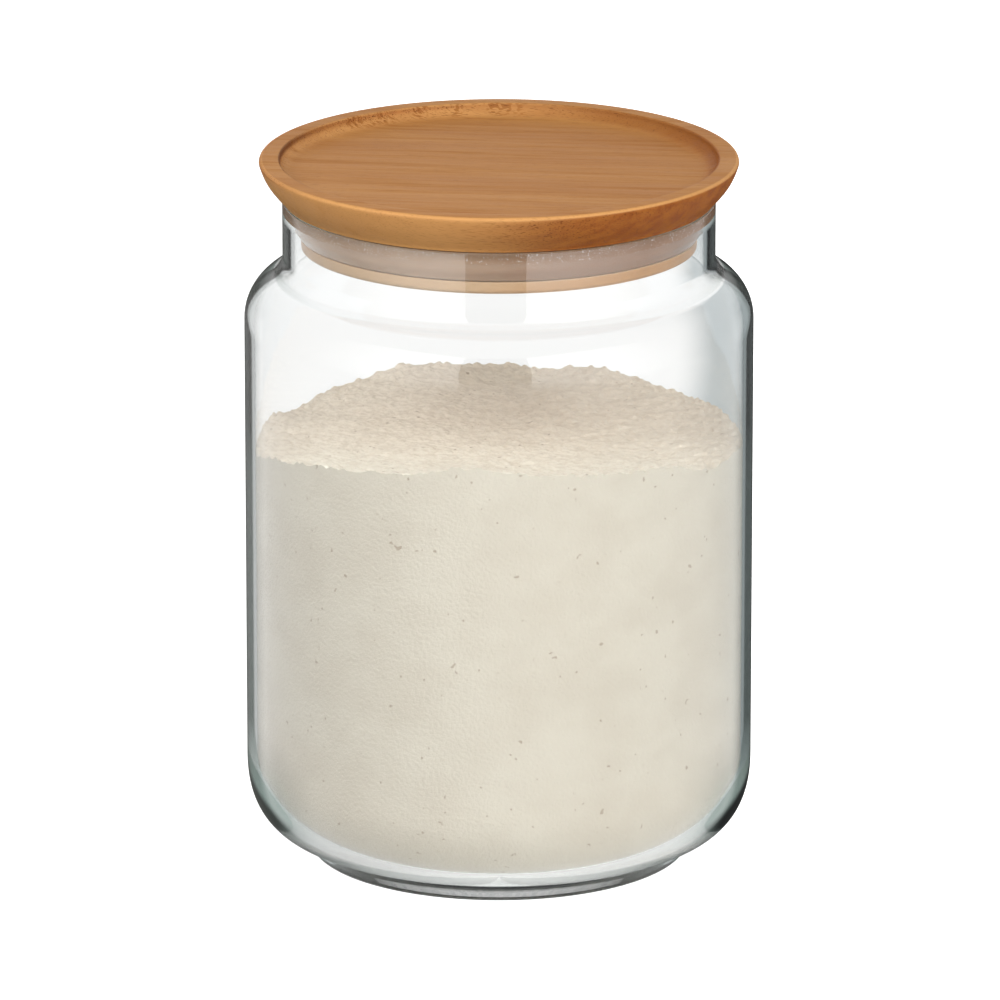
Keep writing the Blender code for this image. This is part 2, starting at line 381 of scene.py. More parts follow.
GLASS_IOR = 1.51
GLASS_ABSORB_COLOR = (0.70, 0.90, 0.86)
GLASS_ABSORB_DENSITY = 9.0
GLASS_LAMP_TINT = (0.95, 0.955, 0.95)
# Painted shade on the glass: dark colours by height where its outside turns away from the eye
EDGE_SHADES = (
    (0.000, (0.290, 0.322, 0.320)), (0.012, (0.300, 0.335, 0.332)),
    (0.019, (0.480, 0.550, 0.525)), (0.026, (0.430, 0.500, 0.470)), (0.045, (0.070, 0.084, 0.078)),
    (0.080, (0.080, 0.090, 0.085)), (0.125, (0.070, 0.075, 0.072)), (0.140, (0.030, 0.028, 0.027)),
    (0.180, (0.030, 0.027, 0.026)), (0.190, (0.006, 0.006, 0.006)), (0.202, (0.004, 0.004, 0.004)),
)
EDGE_HEIGHT = 0.21
NECK_SPAN = (NECK_BOTTOM - 0.006, NECK_BOTTOM, 0.0, 0.045)
CORNER_TURN_SPAN = (0.016, 0.045, 0.190, 0.0)
ABOVE_BARREL_SPAN = (SHOULDER_BOTTOM - 0.002, SHOULDER_BOTTOM + 0.006)
BELOW_NECK_SPAN = (NECK_BOTTOM - 0.003, NECK_BOTTOM + 0.001, 0.140, 0.0)
BELOW_SEAL_SPAN = (LIP_BOTTOM - 0.0015, LIP_BOTTOM + 0.0005, 1.0, 0.0)
RIM_START_SPAN = (0.705, 0.735, 0.0, 0.45)
RIM_FULL_SPAN = (0.755, 0.785, 0.0, 0.55)
# Painted highlight: a faint lightening towards white at the outermost edge
OUTERMOST_HIGHLIGHT_SPAN = (0.80, 0.90, 0.0, 0.06)
# Painted shade in the glass's base and lower corners
BASE_FACING_SPAN = (0.06, 0.36, 0.55, 1.0)
BASE_TOP_SPAN = (0.0108, 0.0130, 1.0, 0.0)
BASE_FOOT_SPAN = (FOOT_HEIGHT - 0.0004, FOOT_HEIGHT + 0.0004)
CORNER_FACING_SPAN = (0.30, 0.58, 0.0, 0.95)
CORNER_TOP_SPAN = (0.022, 0.048, 1.0, 0.0)
LEAK_DEPTH = 2
LEAK_TINT = (0.400, 0.460, 0.435)


def edge_shade_colour(tree, height):
    """Colour of the painted edge shade at a height, between the listed stops."""
    tints = add_node(tree, "ShaderNodeValToRGB", {0: math_node(tree, "DIVIDE", height, EDGE_HEIGHT)})
    stops = tints.color_ramp.elements
    for _ in EDGE_SHADES[2:]:
        stops.new(1)
    for stop, (level, colour) in zip(stops, EDGE_SHADES):
        stop.position = level / EDGE_HEIGHT
        stop.color = (*colour, 1)
    return tints.outputs[0]


def painted_edge_shade(tree):
    """Painted shade: white where the outside faces the eye, dark where it turns away and in the base and
    lower corners, standing in for the glass's dark edge refractions; a faint painted highlight at the
    outermost edge.
    """
    place = add_node(tree, "ShaderNodeTexCoord").outputs
    height = split(tree, place["Object"])[2]
    spoke = spoke_to(tree, place["Object"])
    facing = add_node(tree, "ShaderNodeLayerWeight", {"Blend": 0.5, "Normal": spoke}).outputs["Facing"]
    slope = product(tree, remap(tree, height, *ABOVE_BARREL_SPAN), remap(tree, height, *BELOW_NECK_SPAN))
    turned = math_node(tree, "ADD", facing, remap(tree, height, *NECK_SPAN))
    turned = math_node(tree, "ADD", turned, remap(tree, height, *CORNER_TURN_SPAN))
    turned = math_node(tree, "SUBTRACT", turned, slope)
    rim = math_node(tree, "ADD", remap(tree, turned, *RIM_START_SPAN), remap(tree, turned, *RIM_FULL_SPAN))
    in_base = product(tree, remap(tree, height, *BASE_TOP_SPAN), remap(tree, height, *BASE_FOOT_SPAN))
    base = product(tree, remap(tree, facing, *BASE_FACING_SPAN), in_base)
    corner = product(tree, remap(tree, facing, *CORNER_FACING_SPAN), remap(tree, height, *CORNER_TOP_SPAN))
    share = math_node(tree, "MAXIMUM", rim, math_node(tree, "MAXIMUM", base, corner))
    outside = math_node(tree, "GREATER_THAN", vector_math(tree, "DOT_PRODUCT", place["Normal"], spoke), 0)
    share = product(tree, share, outside, remap(tree, height, *BELOW_SEAL_SPAN))
    dark = mix_colour(tree, remap(tree, turned, *OUTERMOST_HIGHLIGHT_SPAN), edge_shade_colour(tree, height), WHITE)
    return mix_colour(tree, share, WHITE, dark)


def clear_glass():
    """Smooth glass that lets lamp light straight through to what it holds, and trapped light leak out."""
    material, tree, shader = new_material("clear_glass")
    plain = {"Roughness": 0, "IOR": GLASS_IOR, "Transmission Weight": 1}
    set_inputs(tree, shader, {"Base Color": painted_edge_shade(tree), **plain})
    path = add_node(tree, "ShaderNodeLightPath").outputs
    trapped = math_node(tree, "GREATER_THAN", path["Glossy Depth"], LEAK_DEPTH)
    leaky = {0: trapped, 1: shader.outputs[0], 2: transparent(tree, LEAK_TINT)}
    solid = add_node(tree, "ShaderNodeMixShader", leaky).outputs[0]
    straight = math_node(tree, "MAXIMUM", path["Is Shadow Ray"], path["Is Diffuse Ray"])
    lit = {0: straight, 1: solid, 2: transparent(tree, GLASS_LAMP_TINT)}
    surface = add_node(tree, "ShaderNodeMixShader", lit).outputs[0]
    tint = {"Color": (*GLASS_ABSORB_COLOR, 1), "Density": GLASS_ABSORB_DENSITY}
    volume = add_node(tree, "ShaderNodeVolumeAbsorption", tint).outputs[0]
    set_output(tree, {"Surface": surface, "Volume": volume})
    return material


def jar_outline():
    """From the middle of the floor up the inside, over the lip and down the outside to the underside."""
    corner_in = full_corner(
        (BARREL_INSIDE, INNER_CORNER_HEIGHT),
        (INNER_FLOOR_RADIUS, FLOOR_THICKNESS),
        INNER_CORNER_FULLNESS,
        CORNER_STEPS,
    )
    flank_in = shoulder(
        (THROAT_RADIUS, NECK_BOTTOM),
        (BARREL_INSIDE, SHOULDER_BOTTOM - INNER_SHOULDER_SAG),
        INNER_HOLLOW_SHARE,
        SHOULDER_STEPS,
    )
    lip_radii = (LIP_CROWN_RADIUS - THROAT_RADIUS, LIP_DEPTH)
    lip = arc((LIP_CROWN_RADIUS, LIP_BOTTOM), lip_radii, math.pi, QUARTER, LIP_STEPS)
    edge_centre = (LIP_CROWN_RADIUS, RIM_HEIGHT - LIP_EDGE_RADIUS)
    lip += arc(edge_centre, (LIP_EDGE_RADIUS, LIP_EDGE_RADIUS), QUARTER, 0, EDGE_STEPS)[1:]
    flank_out = shoulder(
        (NECK_RADIUS, NECK_BOTTOM), (BARREL_RADIUS, SHOULDER_BOTTOM), SHOULDER_HOLLOW_SHARE, SHOULDER_STEPS
    )
    corner_out = full_corner(
        (BARREL_RADIUS, CORNER_HEIGHT), (FOOT_RADIUS, FOOT_HEIGHT), CORNER_FULLNESS, CORNER_STEPS
    )
    foot_centre = (FOOT_RADIUS - FOOT_EDGE_RADIUS, FOOT_EDGE_RADIUS)
    foot_edge = arc(foot_centre, (FOOT_EDGE_RADIUS, FOOT_EDGE_RADIUS), 0, -QUARTER, EDGE_STEPS)
    ring_inside = FOOT_RADIUS - FOOT_RING_WIDTH
    dome_radii = (ring_inside - PUSH_UP_STEP, PUSH_UP_RISE - PUSH_UP_STEP)
    dome = arc((0, PUSH_UP_STEP), dome_radii, 0, QUARTER, SHOULDER_STEPS)
    inside = [(0, FLOOR_THICKNESS)] + corner_in[::-1] + flank_in[::-1]
    return inside + lip + flank_out + corner_out + foot_edge + [(ring_inside, 0)] + dome


def add_glass():
    """The glass body in place of the solid."""
    glass = add_piece("jar_glass", turned_mesh("jar_glass", jar_outline()), clear_glass(), "jar")
    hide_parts("glass_jar")


# Wooden lid

FIGURE_WAY = (84, 3)
CUT_WAY = (58, 20)
WOOD_LIGHT = (0.390, 0.181, 0.053)
WOOD_MID = (0.335, 0.142, 0.038)
WOOD_DARK = (0.250, 0.085, 0.018)
WOOD_END = (0.230, 0.056, 0.008)
WOOD_CUT = (0.320, 0.100, 0.016)
# Pale colour of the painted light and painted highlights on the wood
WOOD_PAINTED_LIGHT = (0.660, 0.345, 0.125)
WOOD_PORE = (0.085, 0.022, 0.005)
RAW_LIGHT = (0.545, 0.365, 0.218)
RAW_CUT = (0.475, 0.248, 0.102)
RAW_DARK = (0.330, 0.190, 0.095)
BROAD_COUNTS = (4, 55, 90)
BROAD_SPAN = (0.32, 0.68)
STREAK_COUNTS = (8, 330, 330)
STREAK_SPAN = (0.50, 0.78, 0.0, 0.50)
FIBRE_COUNTS = (45, 1900, 1900)
FIBRE_SPAN = (0.45, 0.75, 0.0, 0.20)
FIBRE_RISE_SHARE = 0.4
END_FACING_SPAN = (0.30, 0.92)
END_SHARE = 0.9
CUT_SPAN = (0.35, 0.65)
COVE_SPAN = (-0.15, -0.55)
# Painted shade in the cove at the back right, and painted light in it at the back left
COVE_SHADE_WAY = (0.85, 0.50, 0)
COVE_SHADE_SPAN = (0.3, 0.9, 0.0, 0.65)
COVE_PALE_WAY = (-0.6, 0.8, 0)
COVE_LIGHT_SPAN = (0.3, 0.8, 0.0, 0.30)
TORN_WAY_SPAN = (0.5, 0.9, 0.0, 0.75)
TORN_COUNTS = (95, 95, 0)
TORN_SPAN = (0.50, 0.58)
HATCH_COUNTS = (700, 2100, 500)
HATCH_SPAN = (0.47, 0.60)
# Painted light on the lid's side, and a painted highlight along its upper outer edge
SIDE_SPAN = (0.3, 0.8)
LEVEL_SIDE_SPAN = (0, 1, 0.45, 0.0)
EDGE_OUT_SPAN = (0.10, 0.35)
EDGE_UP_SPAN = (0.20, 0.50, 0.0, 0.42)
# Painted shade: a dark line along the tray's inner edge at the front and left
TRAY_LINE_WAY = (-0.35, -0.94, 0)
TRAY_LINE_WAY_SPAN = (-0.4, 0.2)
TRAY_LINE_OFF_SPAN = (0.0001, 0.0006, 0.75, 0.0)
TRAY_LINE_UP_SPAN = (0.0, 0.1)
PORE_COUNTS = (240, 3900, 3900)
PORE_SPAN = (0.58, 0.68)
PORE_END_SPAN = (0, 1, 0.25, 0.8)
PORE_COVE_SHARE = 0.3
RAW_PORE_SHARE = 0.7
WOOD_ROUGHNESS_SPAN = (0.3, 0.8, 0.42, 0.58)
WOOD_SPECULAR = 0.07
WOOD_BUMP = {"Strength": 0.3, "Distance": 0.0002}


def grain_axes(way):
    """Unit vectors along fibres with an azimuth and a dip, level across them, and square to both."""
    azimuth, dip = math.radians(way[0]), math.radians(way[1])
    across = math.cos(dip)
    along = Vector((math.sin(azimuth) * across, -math.cos(azimuth) * across, -math.sin(dip)))
    level = Vector((math.cos(azimuth), math.sin(azimuth), 0))
    return along, level, along.cross(level)


def grain_place(tree, spot):
    """How far a spot lies along the figure's fibres, level across them, and square to both."""
    parts = [vector_math(tree, "DOT_PRODUCT", spot, axis) for axis in grain_axes(FIGURE_WAY)]
    return add_node(tree, "ShaderNodeCombineXYZ", dict(enumerate(parts))).outputs[0]


def end_grain(tree, normal):
    """How much a surface cuts across the fibres, from 0 along them to 1 square to them."""
    facing = vector_math(tree, "DOT_PRODUCT", normal, grain_axes(CUT_WAY)[0])
    return remap(tree, math_node(tree, "ABSOLUTE", facing), *END_FACING_SPAN)


def towards(tree, spoke, way, span, mask):
    """The mask where the spoke from the axis points a way, fading off it over a span."""
    return product(tree, remap(tree, vector_math(tree, "DOT_PRODUCT", spoke, way), *span), mask)


def wood_figure(tree, grain, end_share, streak, fibre):
    """The wood's own colours: broad bands, streaks and fibres, deeper where they are cut across."""
    broad = noise_at(tree, grain, BROAD_COUNTS, detail=3, distortion=0.5)
    tone = mix_colour(tree, remap(tree, broad, *BROAD_SPAN), WOOD_MID, WOOD_LIGHT)
    tone = mix_colour(tree, remap(tree, streak, *STREAK_SPAN), tone, WOOD_DARK)
    tone = mix_colour(tree, remap(tree, fibre, *FIBRE_SPAN), tone, WOOD_DARK)
    cut = mix_colour(tree, remap(tree, streak, *CUT_SPAN), WOOD_END, WOOD_CUT)
    return mix_colour(tree, product(tree, end_share, END_SHARE), tone, cut)


def cove_tone(tree, tone, spot, grain, spoke, cove):
    """The tone with painted shade in the cove at the back right, painted light in it at the back left, and
    torn fibres there.
    """
    dark = towards(tree, spoke, COVE_SHADE_WAY, COVE_SHADE_SPAN, cove)
    pale = towards(tree, spoke, COVE_PALE_WAY, COVE_LIGHT_SPAN, cove)
    tone = mix_colour(tree, dark, tone, WOOD_DARK)
    tone = mix_colour(tree, pale, tone, WOOD_PAINTED_LIGHT)
    torn = remap(tree, noise_at(tree, spot, TORN_COUNTS, detail=0), *TORN_SPAN)
    hatch = remap(tree, noise_at(tree, grain, HATCH_COUNTS, detail=0), *HATCH_SPAN)
    torn = product(tree, torn, hatch, towards(tree, spoke, COVE_PALE_WAY, TORN_WAY_SPAN, cove))
    return mix_colour(tree, torn, tone, WOOD_DARK)


def side_and_edge_light(tree, tone, outward, upward, end_share):
    """The tone with painted light on the side where the fibres run along it, and a painted highlight along
    the upper outer edge.
    """
    level_side = product(tree, remap(tree, outward, *SIDE_SPAN), remap(tree, end_share, *LEVEL_SIDE_SPAN))
    edge = product(tree, remap(tree, outward, *EDGE_OUT_SPAN), remap(tree, upward, *EDGE_UP_SPAN))
    return mix_colour(tree, edge, mix_colour(tree, level_side, tone, WOOD_PAINTED_LIGHT), WOOD_PAINTED_LIGHT)


def tray_edge_shade(tree, spot, spoke, upward):
    """How much painted shade a spot shows as a dark line round the tray's inner edge, at the front and left.
    """
    past_tray = math_node(tree, "SUBTRACT", vector_math(tree, "DOT_PRODUCT", spot, spoke), TRAY_RADIUS)
    off_line = math_node(tree, "ABSOLUTE", math_node(tree, "SUBTRACT", past_tray, TRAY_LINE_SHIFT))
    line = product(tree, remap(tree, off_line, *TRAY_LINE_OFF_SPAN), remap(tree, upward, *TRAY_LINE_UP_SPAN))
    return towards(tree, spoke, TRAY_LINE_WAY, TRAY_LINE_WAY_SPAN, line)


def oiled_wood():
    """Solid oiled wood whose fibres run one way through the whole lid; below the disc it is bare."""
    material, tree, shader = new_material("oiled_wood")
    place = add_node(tree, "ShaderNodeTexCoord").outputs
    spot, normal = place["Object"], place["Normal"]
    grain = grain_place(tree, spot)
    spoke = spoke_to(tree, spot)
    end_share = end_grain(tree, normal)
    outward = vector_math(tree, "DOT_PRODUCT", normal, spoke)
    upward = split(tree, normal)[2]
    cove = remap(tree, outward, *COVE_SPAN)
    streak = noise_at(tree, grain, STREAK_COUNTS, detail=4, roughness=0.6)
    fibre = noise_at(tree, grain, FIBRE_COUNTS, detail=2)
    tone = wood_figure(tree, grain, end_share, streak, fibre)
    tone = cove_tone(tree, tone, spot, grain, spoke, cove)
    tone = side_and_edge_light(tree, tone, outward, upward, end_share)
    tone = mix_colour(tree, tray_edge_shade(tree, spot, spoke, upward), tone, WOOD_PORE)
    pore = remap(tree, noise_at(tree, grain, PORE_COUNTS, detail=1), *PORE_SPAN)
    cove_pores = product(tree, cove, PORE_COVE_SHARE)
    speckle = math_node(tree, "ADD", remap(tree, end_share, *PORE_END_SPAN), cove_pores)
    pores = product(tree, pore, speckle)
    tone = mix_colour(tree, pores, tone, WOOD_PORE)
    raw = mix_colour(tree, end_share, RAW_LIGHT, RAW_CUT)
    raw = mix_colour(tree, product(tree, pores, RAW_PORE_SHARE), raw, RAW_DARK)
    plug = math_node(tree, "LESS_THAN", split(tree, spot)[2], RIM_HEIGHT)
    rise = math_node(tree, "SUBTRACT", product(tree, fibre, FIBRE_RISE_SHARE), pores)
    inputs = {
        "Base Color": mix_colour(tree, plug, tone, raw),
        "Roughness": remap(tree, streak, *WOOD_ROUGHNESS_SPAN),
        "Specular IOR Level": WOOD_SPECULAR,
        "Normal": add_node(tree, "ShaderNodeBump", {"Height": rise, **WOOD_BUMP}).outputs[0],
    }
    set_inputs(tree, shader, inputs)
    return material


def lid_outline():
    """From the middle of the tray over the flared rim, down the groove and plug to the middle of its foot."""
    under = RIM_HEIGHT + LID_UNDER
    top = LID_TOP
    cove_centre = (TRAY_FLOOR_RADIUS, top - TRAY_EDGE_RADIUS)
    cove_radii = (TRAY_COVE_WIDTH, TRAY_DEPTH - TRAY_EDGE_RADIUS)
    cove = arc(cove_centre, cove_radii, -QUARTER, 0, COVE_STEPS)
    lip_centre = (TRAY_RADIUS + TRAY_EDGE_RADIUS, top - TRAY_EDGE_RADIUS)
    tray_lip = arc(lip_centre, (TRAY_EDGE_RADIUS, TRAY_EDGE_RADIUS), math.pi, QUARTER, EDGE_STEPS)
    rim_centre = (LID_RADIUS - LID_TOP_EDGE_RADIUS, top - LID_TOP_EDGE_RADIUS)
    rim = arc(rim_centre, (LID_TOP_EDGE_RADIUS, LID_TOP_EDGE_RADIUS), QUARTER, 0, EDGE_STEPS)
    side = bowed(rim[-1], (LID_FOOT_RADIUS, under + LID_LOW_EDGE_RADIUS), LID_SIDE_BULGE, SIDE_STEPS)
    low_centre = (LID_FOOT_RADIUS - LID_LOW_EDGE_RADIUS, under + LID_LOW_EDGE_RADIUS)
    low_edge = arc(low_centre, (LID_LOW_EDGE_RADIUS, LID_LOW_EDGE_RADIUS), 0, -QUARTER, EDGE_STEPS)
    flange_top = SEAL_BOTTOM - SEAL_GAP
    groove = [(GROOVE_RADIUS, under), (GROOVE_RADIUS, flange_top)]
    flange_centre = (PLUG_RADIUS - PLUG_FLANGE_EDGE_RADIUS, flange_top - PLUG_FLANGE_EDGE_RADIUS)
    flange = arc(flange_centre, (PLUG_FLANGE_EDGE_RADIUS, PLUG_FLANGE_EDGE_RADIUS), QUARTER, 0, EDGE_STEPS)
    plug_centre = (PLUG_RADIUS - PLUG_EDGE_RADIUS, PLUG_BOTTOM + PLUG_EDGE_RADIUS)
    plug_edge = arc(plug_centre, (PLUG_EDGE_RADIUS, PLUG_EDGE_RADIUS), 0, -QUARTER, EDGE_STEPS)
    tray = [(0, top - TRAY_DEPTH)] + cove + tray_lip[1:]
    return tray + rim + side[1:] + low_edge[1:] + groove + flange + plug_edge + [(0, PLUG_BOTTOM)]


def add_lid():
    """The turned lid in place of the solid."""
    lid = add_piece("lid_wood", turned_mesh("lid_wood", lid_outline()), oiled_wood(), "lid")
    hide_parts("wooden_lid")


# Silicone seal

# The deep colour where the wood behind is cut across is partly painted shade
SEAL_PALE = (0.430, 0.288, 0.193)
SEAL_DEEP = (0.285, 0.158, 0.094)
SEAL_SPECK = (0.75, 0.70, 0.66)
CLOUD_COUNTS = (110, 110, 420)
CLOUD_SPAN = (0.3, 0.7, 0.0, 0.2)
BUBBLE_COUNTS = (2300, 2300, 2300)
BUBBLE_SPAN = (0.70, 0.76, 0.0, 0.8)
SEAL_ROUGHNESS = 0.25
SEAL_IOR = 1.41
SEAL_SCATTER_SHARE = 0.4
SEAL_SCATTER_RADII = (0.004, 0.003, 0.0025)


def clear_silicone():
    """Milky silicone that shows the wood behind it, so it is deeper where the wood is cut across; that deep
    colour is partly the wood and partly painted shade.
    """
    material, tree, shader = new_material("clear_silicone")
    place = add_node(tree, "ShaderNodeTexCoord").outputs
    cloud = noise_at(tree, place["Object"], CLOUD_COUNTS, detail=2)
    bubbles = noise_at(tree, place["Object"], BUBBLE_COUNTS, detail=0)
    band = math_node(tree, "GREATER_THAN", split(tree, place["Object"])[2], LIP_BOTTOM)
    tone = mix_colour(tree, end_grain(tree, place["Normal"]), SEAL_PALE, SEAL_DEEP)
    tone = mix_colour(tree, remap(tree, cloud, *CLOUD_SPAN), tone, SEAL_DEEP)
    tone = mix_colour(tree, product(tree, remap(tree, bubbles, *BUBBLE_SPAN), band), tone, SEAL_SPECK)
    inputs = {
        "Base Color": tone,
        "Roughness": SEAL_ROUGHNESS,
        "IOR": SEAL_IOR,
        "Subsurface Weight": SEAL_SCATTER_SHARE,
        "Subsurface Radius": SEAL_SCATTER_RADII,
        "Subsurface Scale": 1,
    }
    set_inputs(tree, shader, inputs)
    return material


def seal_outline():
    """Closed outline of the seal: a crown in the rounded lip, a band on the throat, a skirt to the plug."""
    inside = GROOVE_RADIUS + SEAL_GAP
    band = THROAT_RADIUS - SEAL_GAP
    crown_radii = (LIP_CROWN_RADIUS - THROAT_RADIUS - SEAL_PRESS, LIP_DEPTH - SEAL_PRESS)
    crown = arc((LIP_CROWN_RADIUS, LIP_BOTTOM), crown_radii, math.pi, SEAL_CROWN_TURN, LIP_STEPS)[::-1]
    band_foot = (band, LIP_BOTTOM - SEAL_BAND_HEIGHT)
    foot_radius = PLUG_RADIUS + SEAL_GAP
    foot_centre = (foot_radius - SEAL_EDGE_RADIUS, SEAL_BOTTOM + SEAL_EDGE_RADIUS)
    foot = arc(foot_centre, (SEAL_EDGE_RADIUS, SEAL_EDGE_RADIUS), 0, -QUARTER, EDGE_STEPS)
    top = crown[0][1]
    outside = crown + [(band, LIP_BOTTOM), band_foot] + foot
    return [(inside, top)] + outside + [(inside, SEAL_BOTTOM), (inside, top)]


def add_seal():
    """The seal in place of the solid."""
    seal = add_piece("seal_silicone", turned_mesh("seal_silicone", seal_outline()), clear_silicone(), "seal")
    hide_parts("seal_ring")


# Flour

FLOUR_WARM = (0.620, 0.555, 0.460)
FLOUR_PALE = (0.665, 0.605, 0.508)
# Painted light on the flour's top, warmer towards the back
FLOUR_LIT_FRONT = (0.850, 0.795, 0.685)
FLOUR_LIT_BACK = (0.890, 0.790, 0.662)
# Painted shade in the top's hollows and near the wall on the left and right
FLOUR_SHADE = (0.600, 0.500, 0.390)
# Painted shadow along the flour's foot on the glass floor
FLOUR_FOOT_SHADOW = (0.160, 0.165, 0.155)
FLOUR_FINE = (0.50, 0.41, 0.31)
FLOUR_BRAN = (0.33, 0.23, 0.15)
PATCH_COUNTS = (45, 45, 60)
PATCH_SPAN = (0.3, 0.7)
TOP_SPAN = (0.2, 0.6)
TOP_LIGHT_SHARE = 0.9
BACK_SPAN = (-0.06, 0.04)
BESIDE_SHADE_SPAN = (0.050, 0.072, 0.0, 0.6)
LOOSE_COUNTS = (300, 300, 300)
HOLLOW_SHADE_SPAN = (0.56, 0.38, 0.0, 0.32)
FINE_COUNTS = (900, 900, 900)
FINE_SPAN = (0.60, 0.80, 0.0, 0.30)
BRAN_COUNTS = (420, 420, 420)
BRAN_SPAN = (0.72, 0.77, 0.0, 0.6)
FLOUR_FOOT_SHADOW_SPAN = (FLOOR_THICKNESS + 0.0003, FLOOR_THICKNESS + 0.0012, 0.7, 0.0)
FLOUR_SPECULAR = 0.2
FLOUR_BUMP = {"Strength": 0.7, "Distance": 0.0005}


def flour():
    """Dry pale flour with a few specks of bran; its top is mottled, with painted light that makes it paler
    than the sides, and painted shade in its hollows, near the wall on the left and right, and at its foot.
    """
    material, tree, shader = new_material("flour")
    place = add_node(tree, "ShaderNodeTexCoord").outputs
    spot = place["Object"]
    across, ahead, height = split(tree, spot)
    top = remap(tree, split(tree, place["Normal"])[2], *TOP_SPAN)
    loose = noise_at(tree, spot, LOOSE_COUNTS, detail=4, roughness=0.65, distortion=0.6)
    fine = noise_at(tree, spot, FINE_COUNTS, detail=3)
    patch = noise_at(tree, spot, PATCH_COUNTS, detail=4)
    bran = noise_at(tree, spot, BRAN_COUNTS, detail=1)
    beside = remap(tree, math_node(tree, "ABSOLUTE", across), *BESIDE_SHADE_SPAN)
    lit_top_tone = mix_colour(tree, remap(tree, ahead, *BACK_SPAN), FLOUR_LIT_FRONT, FLOUR_LIT_BACK)
    # Painted shade on the top near the wall on the left and right
    lit_top_tone = mix_colour(tree, beside, lit_top_tone, FLOUR_SHADE)
    tone = mix_colour(tree, remap(tree, patch, *PATCH_SPAN), FLOUR_WARM, FLOUR_PALE)
    # Painted light: the top paler than the sides
    tone = mix_colour(tree, product(tree, top, TOP_LIGHT_SHARE), tone, lit_top_tone)
    # Painted shade in the top's hollows
    tone = mix_colour(tree, product(tree, remap(tree, loose, *HOLLOW_SHADE_SPAN), top), tone, FLOUR_SHADE)
    tone = mix_colour(tree, remap(tree, fine, *FINE_SPAN), tone, FLOUR_FINE)
    tone = mix_colour(tree, remap(tree, bran, *BRAN_SPAN), tone, FLOUR_BRAN)
    # Painted shadow at the flour's foot
    tone = mix_colour(tree, remap(tree, height, *FLOUR_FOOT_SHADOW_SPAN), tone, FLOUR_FOOT_SHADOW)
    rise = math_node(tree, "ADD", fine, product(tree, loose, top))
    inputs = {
        "Base Color": tone,
        "Roughness": 1,
        "Specular IOR Level": FLOUR_SPECULAR,
        "Normal": add_node(tree, "ShaderNodeBump", {"Height": rise, **FLOUR_BUMP}).outputs[0],
    }
    set_inputs(tree, shader, inputs)
    return material


def edge_height(degrees):
    """Height of the flour against the wall at an angle from the front, eased between the chosen points."""
    points = list(FILL_EDGE) + [(FILL_EDGE[0][0] + 360, FILL_EDGE[0][1])]
    angle = (degrees - points[0][0]) % 360 + points[0][0]
    for (start, low), (end, high) in zip(points, points[1:]):
        if start <= angle <= end:
            share = (angle - start) / (end - start)
            return low + (high - low) * share * share * (3 - 2 * share)
    return points[0][1]


def clump(x, y, length):
    """A field of low round clumps about length across, from 0 between them to 1 at their tops."""
    nearest = noise.voronoi(Vector((x, y, length)) / length)[0][0]
    return 1 - min(nearest / CLUMP_REACH, 1) ** 2


def fill_top(x, y):
    """Height of the flour's uneven top."""
    radius = math.hypot(x, y)
    out_share = radius / BARREL_INSIDE
    edge = edge_height(math.degrees(math.atan2(x, -y)))
    dish = FILL_CENTRE + (edge - FILL_CENTRE) * out_share**FILL_DISH_FULLNESS
    swell = noise.noise(Vector((x, y, 0)) / SWELL_LENGTH)
    patch = PATCH_MIDDLE + noise.noise(Vector((x, y, SWELL_LENGTH)) / PATCH_LENGTH)
    lump = clump(x, y, LUMP_LENGTH) * patch
    loose = max(0, (out_share - LOOSE_START) / (1 - LOOSE_START))
    crumb = clump(x, y, CRUMB_LENGTH) * (1 + LOOSE_MORE * loose)
    return dish + SWELL_HEIGHT * swell + LUMP_HEIGHT * lump + CRUMB_HEIGHT * crumb


def add_flour():
    """The flour, a closed mesh: rings of its uneven top, then its side, its corner and its floor."""
    wall = BARREL_INSIDE - FILL_GAP
    floor = FLOOR_THICKNESS + FILL_GAP
    corner_ends = ((wall, INNER_CORNER_HEIGHT), (INNER_FLOOR_RADIUS, floor))
    corner = full_corner(*corner_ends, INNER_CORNER_FULLNESS, CORNER_STEPS)
    rings = [[(0, 0, fill_top(0, 0))]]
    for step in range(1, FILL_RINGS + 1):
        ring = turned_ring(wall * step / FILL_RINGS, 0, FILL_SEGMENTS)
        rings.append([(x, y, fill_top(x, y)) for x, y, _ in ring])
    rings += [turned_ring(radius, height, FILL_SEGMENTS) for radius, height in corner]
    rings.append([(0, 0, floor)])
    mesh = ring_mesh("flour_heap", rings)
    heap = add_piece("flour_heap", mesh, flour(), "jar")
    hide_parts("flour_fill")


# Stage

FLOOR_SIZE = 8
FLOOR_DROP = 0.0002
FLOOR_GLOW = 0.90
FLOOR_LEFT = (0.34, 0.34, 0.34)
FLOOR_RIGHT = (0.82, 0.82, 0.82)
FLOOR_SIDE_SPAN = (-0.15, 0.05)
UNDER_SPAN = (0.056, 0.068, 0.60, 0.10)
FLOOR_FAR_SPAN = (0.055, 0.130)
AMBIENT = (0.50, 0.50, 0.50)
RIGHT_SHADE = (0.45, 0.50, 0.515)
SHADE_START_SPAN = (8.5, 13)
SHADE_END_SPAN = (60, 90, 1.0, 0.0)
FLANK_LEFT = (0.11, 0.11, 0.105)
FLANK_RIGHT = (0.04, 0.04, 0.04)
FLANK_SIDE_SPAN = (-1, 1)
FLANK_START_SPAN = (1, 4)
FLANK_END_SPAN = (34, 48, 1.0, 0.0)
FLANK_RISE_SPAN = (0.0, 0.3, 1.0, 0.0)
CARD_LEFT = -0.180
CARD_RIGHT = 0.145
CARD_FORWARD = 0.600
CARD_SIDE = 0.750
CARD_LOW = 0.011
CARD_HIGH = 0.700
CARD_SIDE_SPAN = (0.250, CARD_SIDE, 1.0, 0.0)
CARD_FOOT_SPAN = (CARD_LOW, 0.071)
GAP_GLOW = 0.02
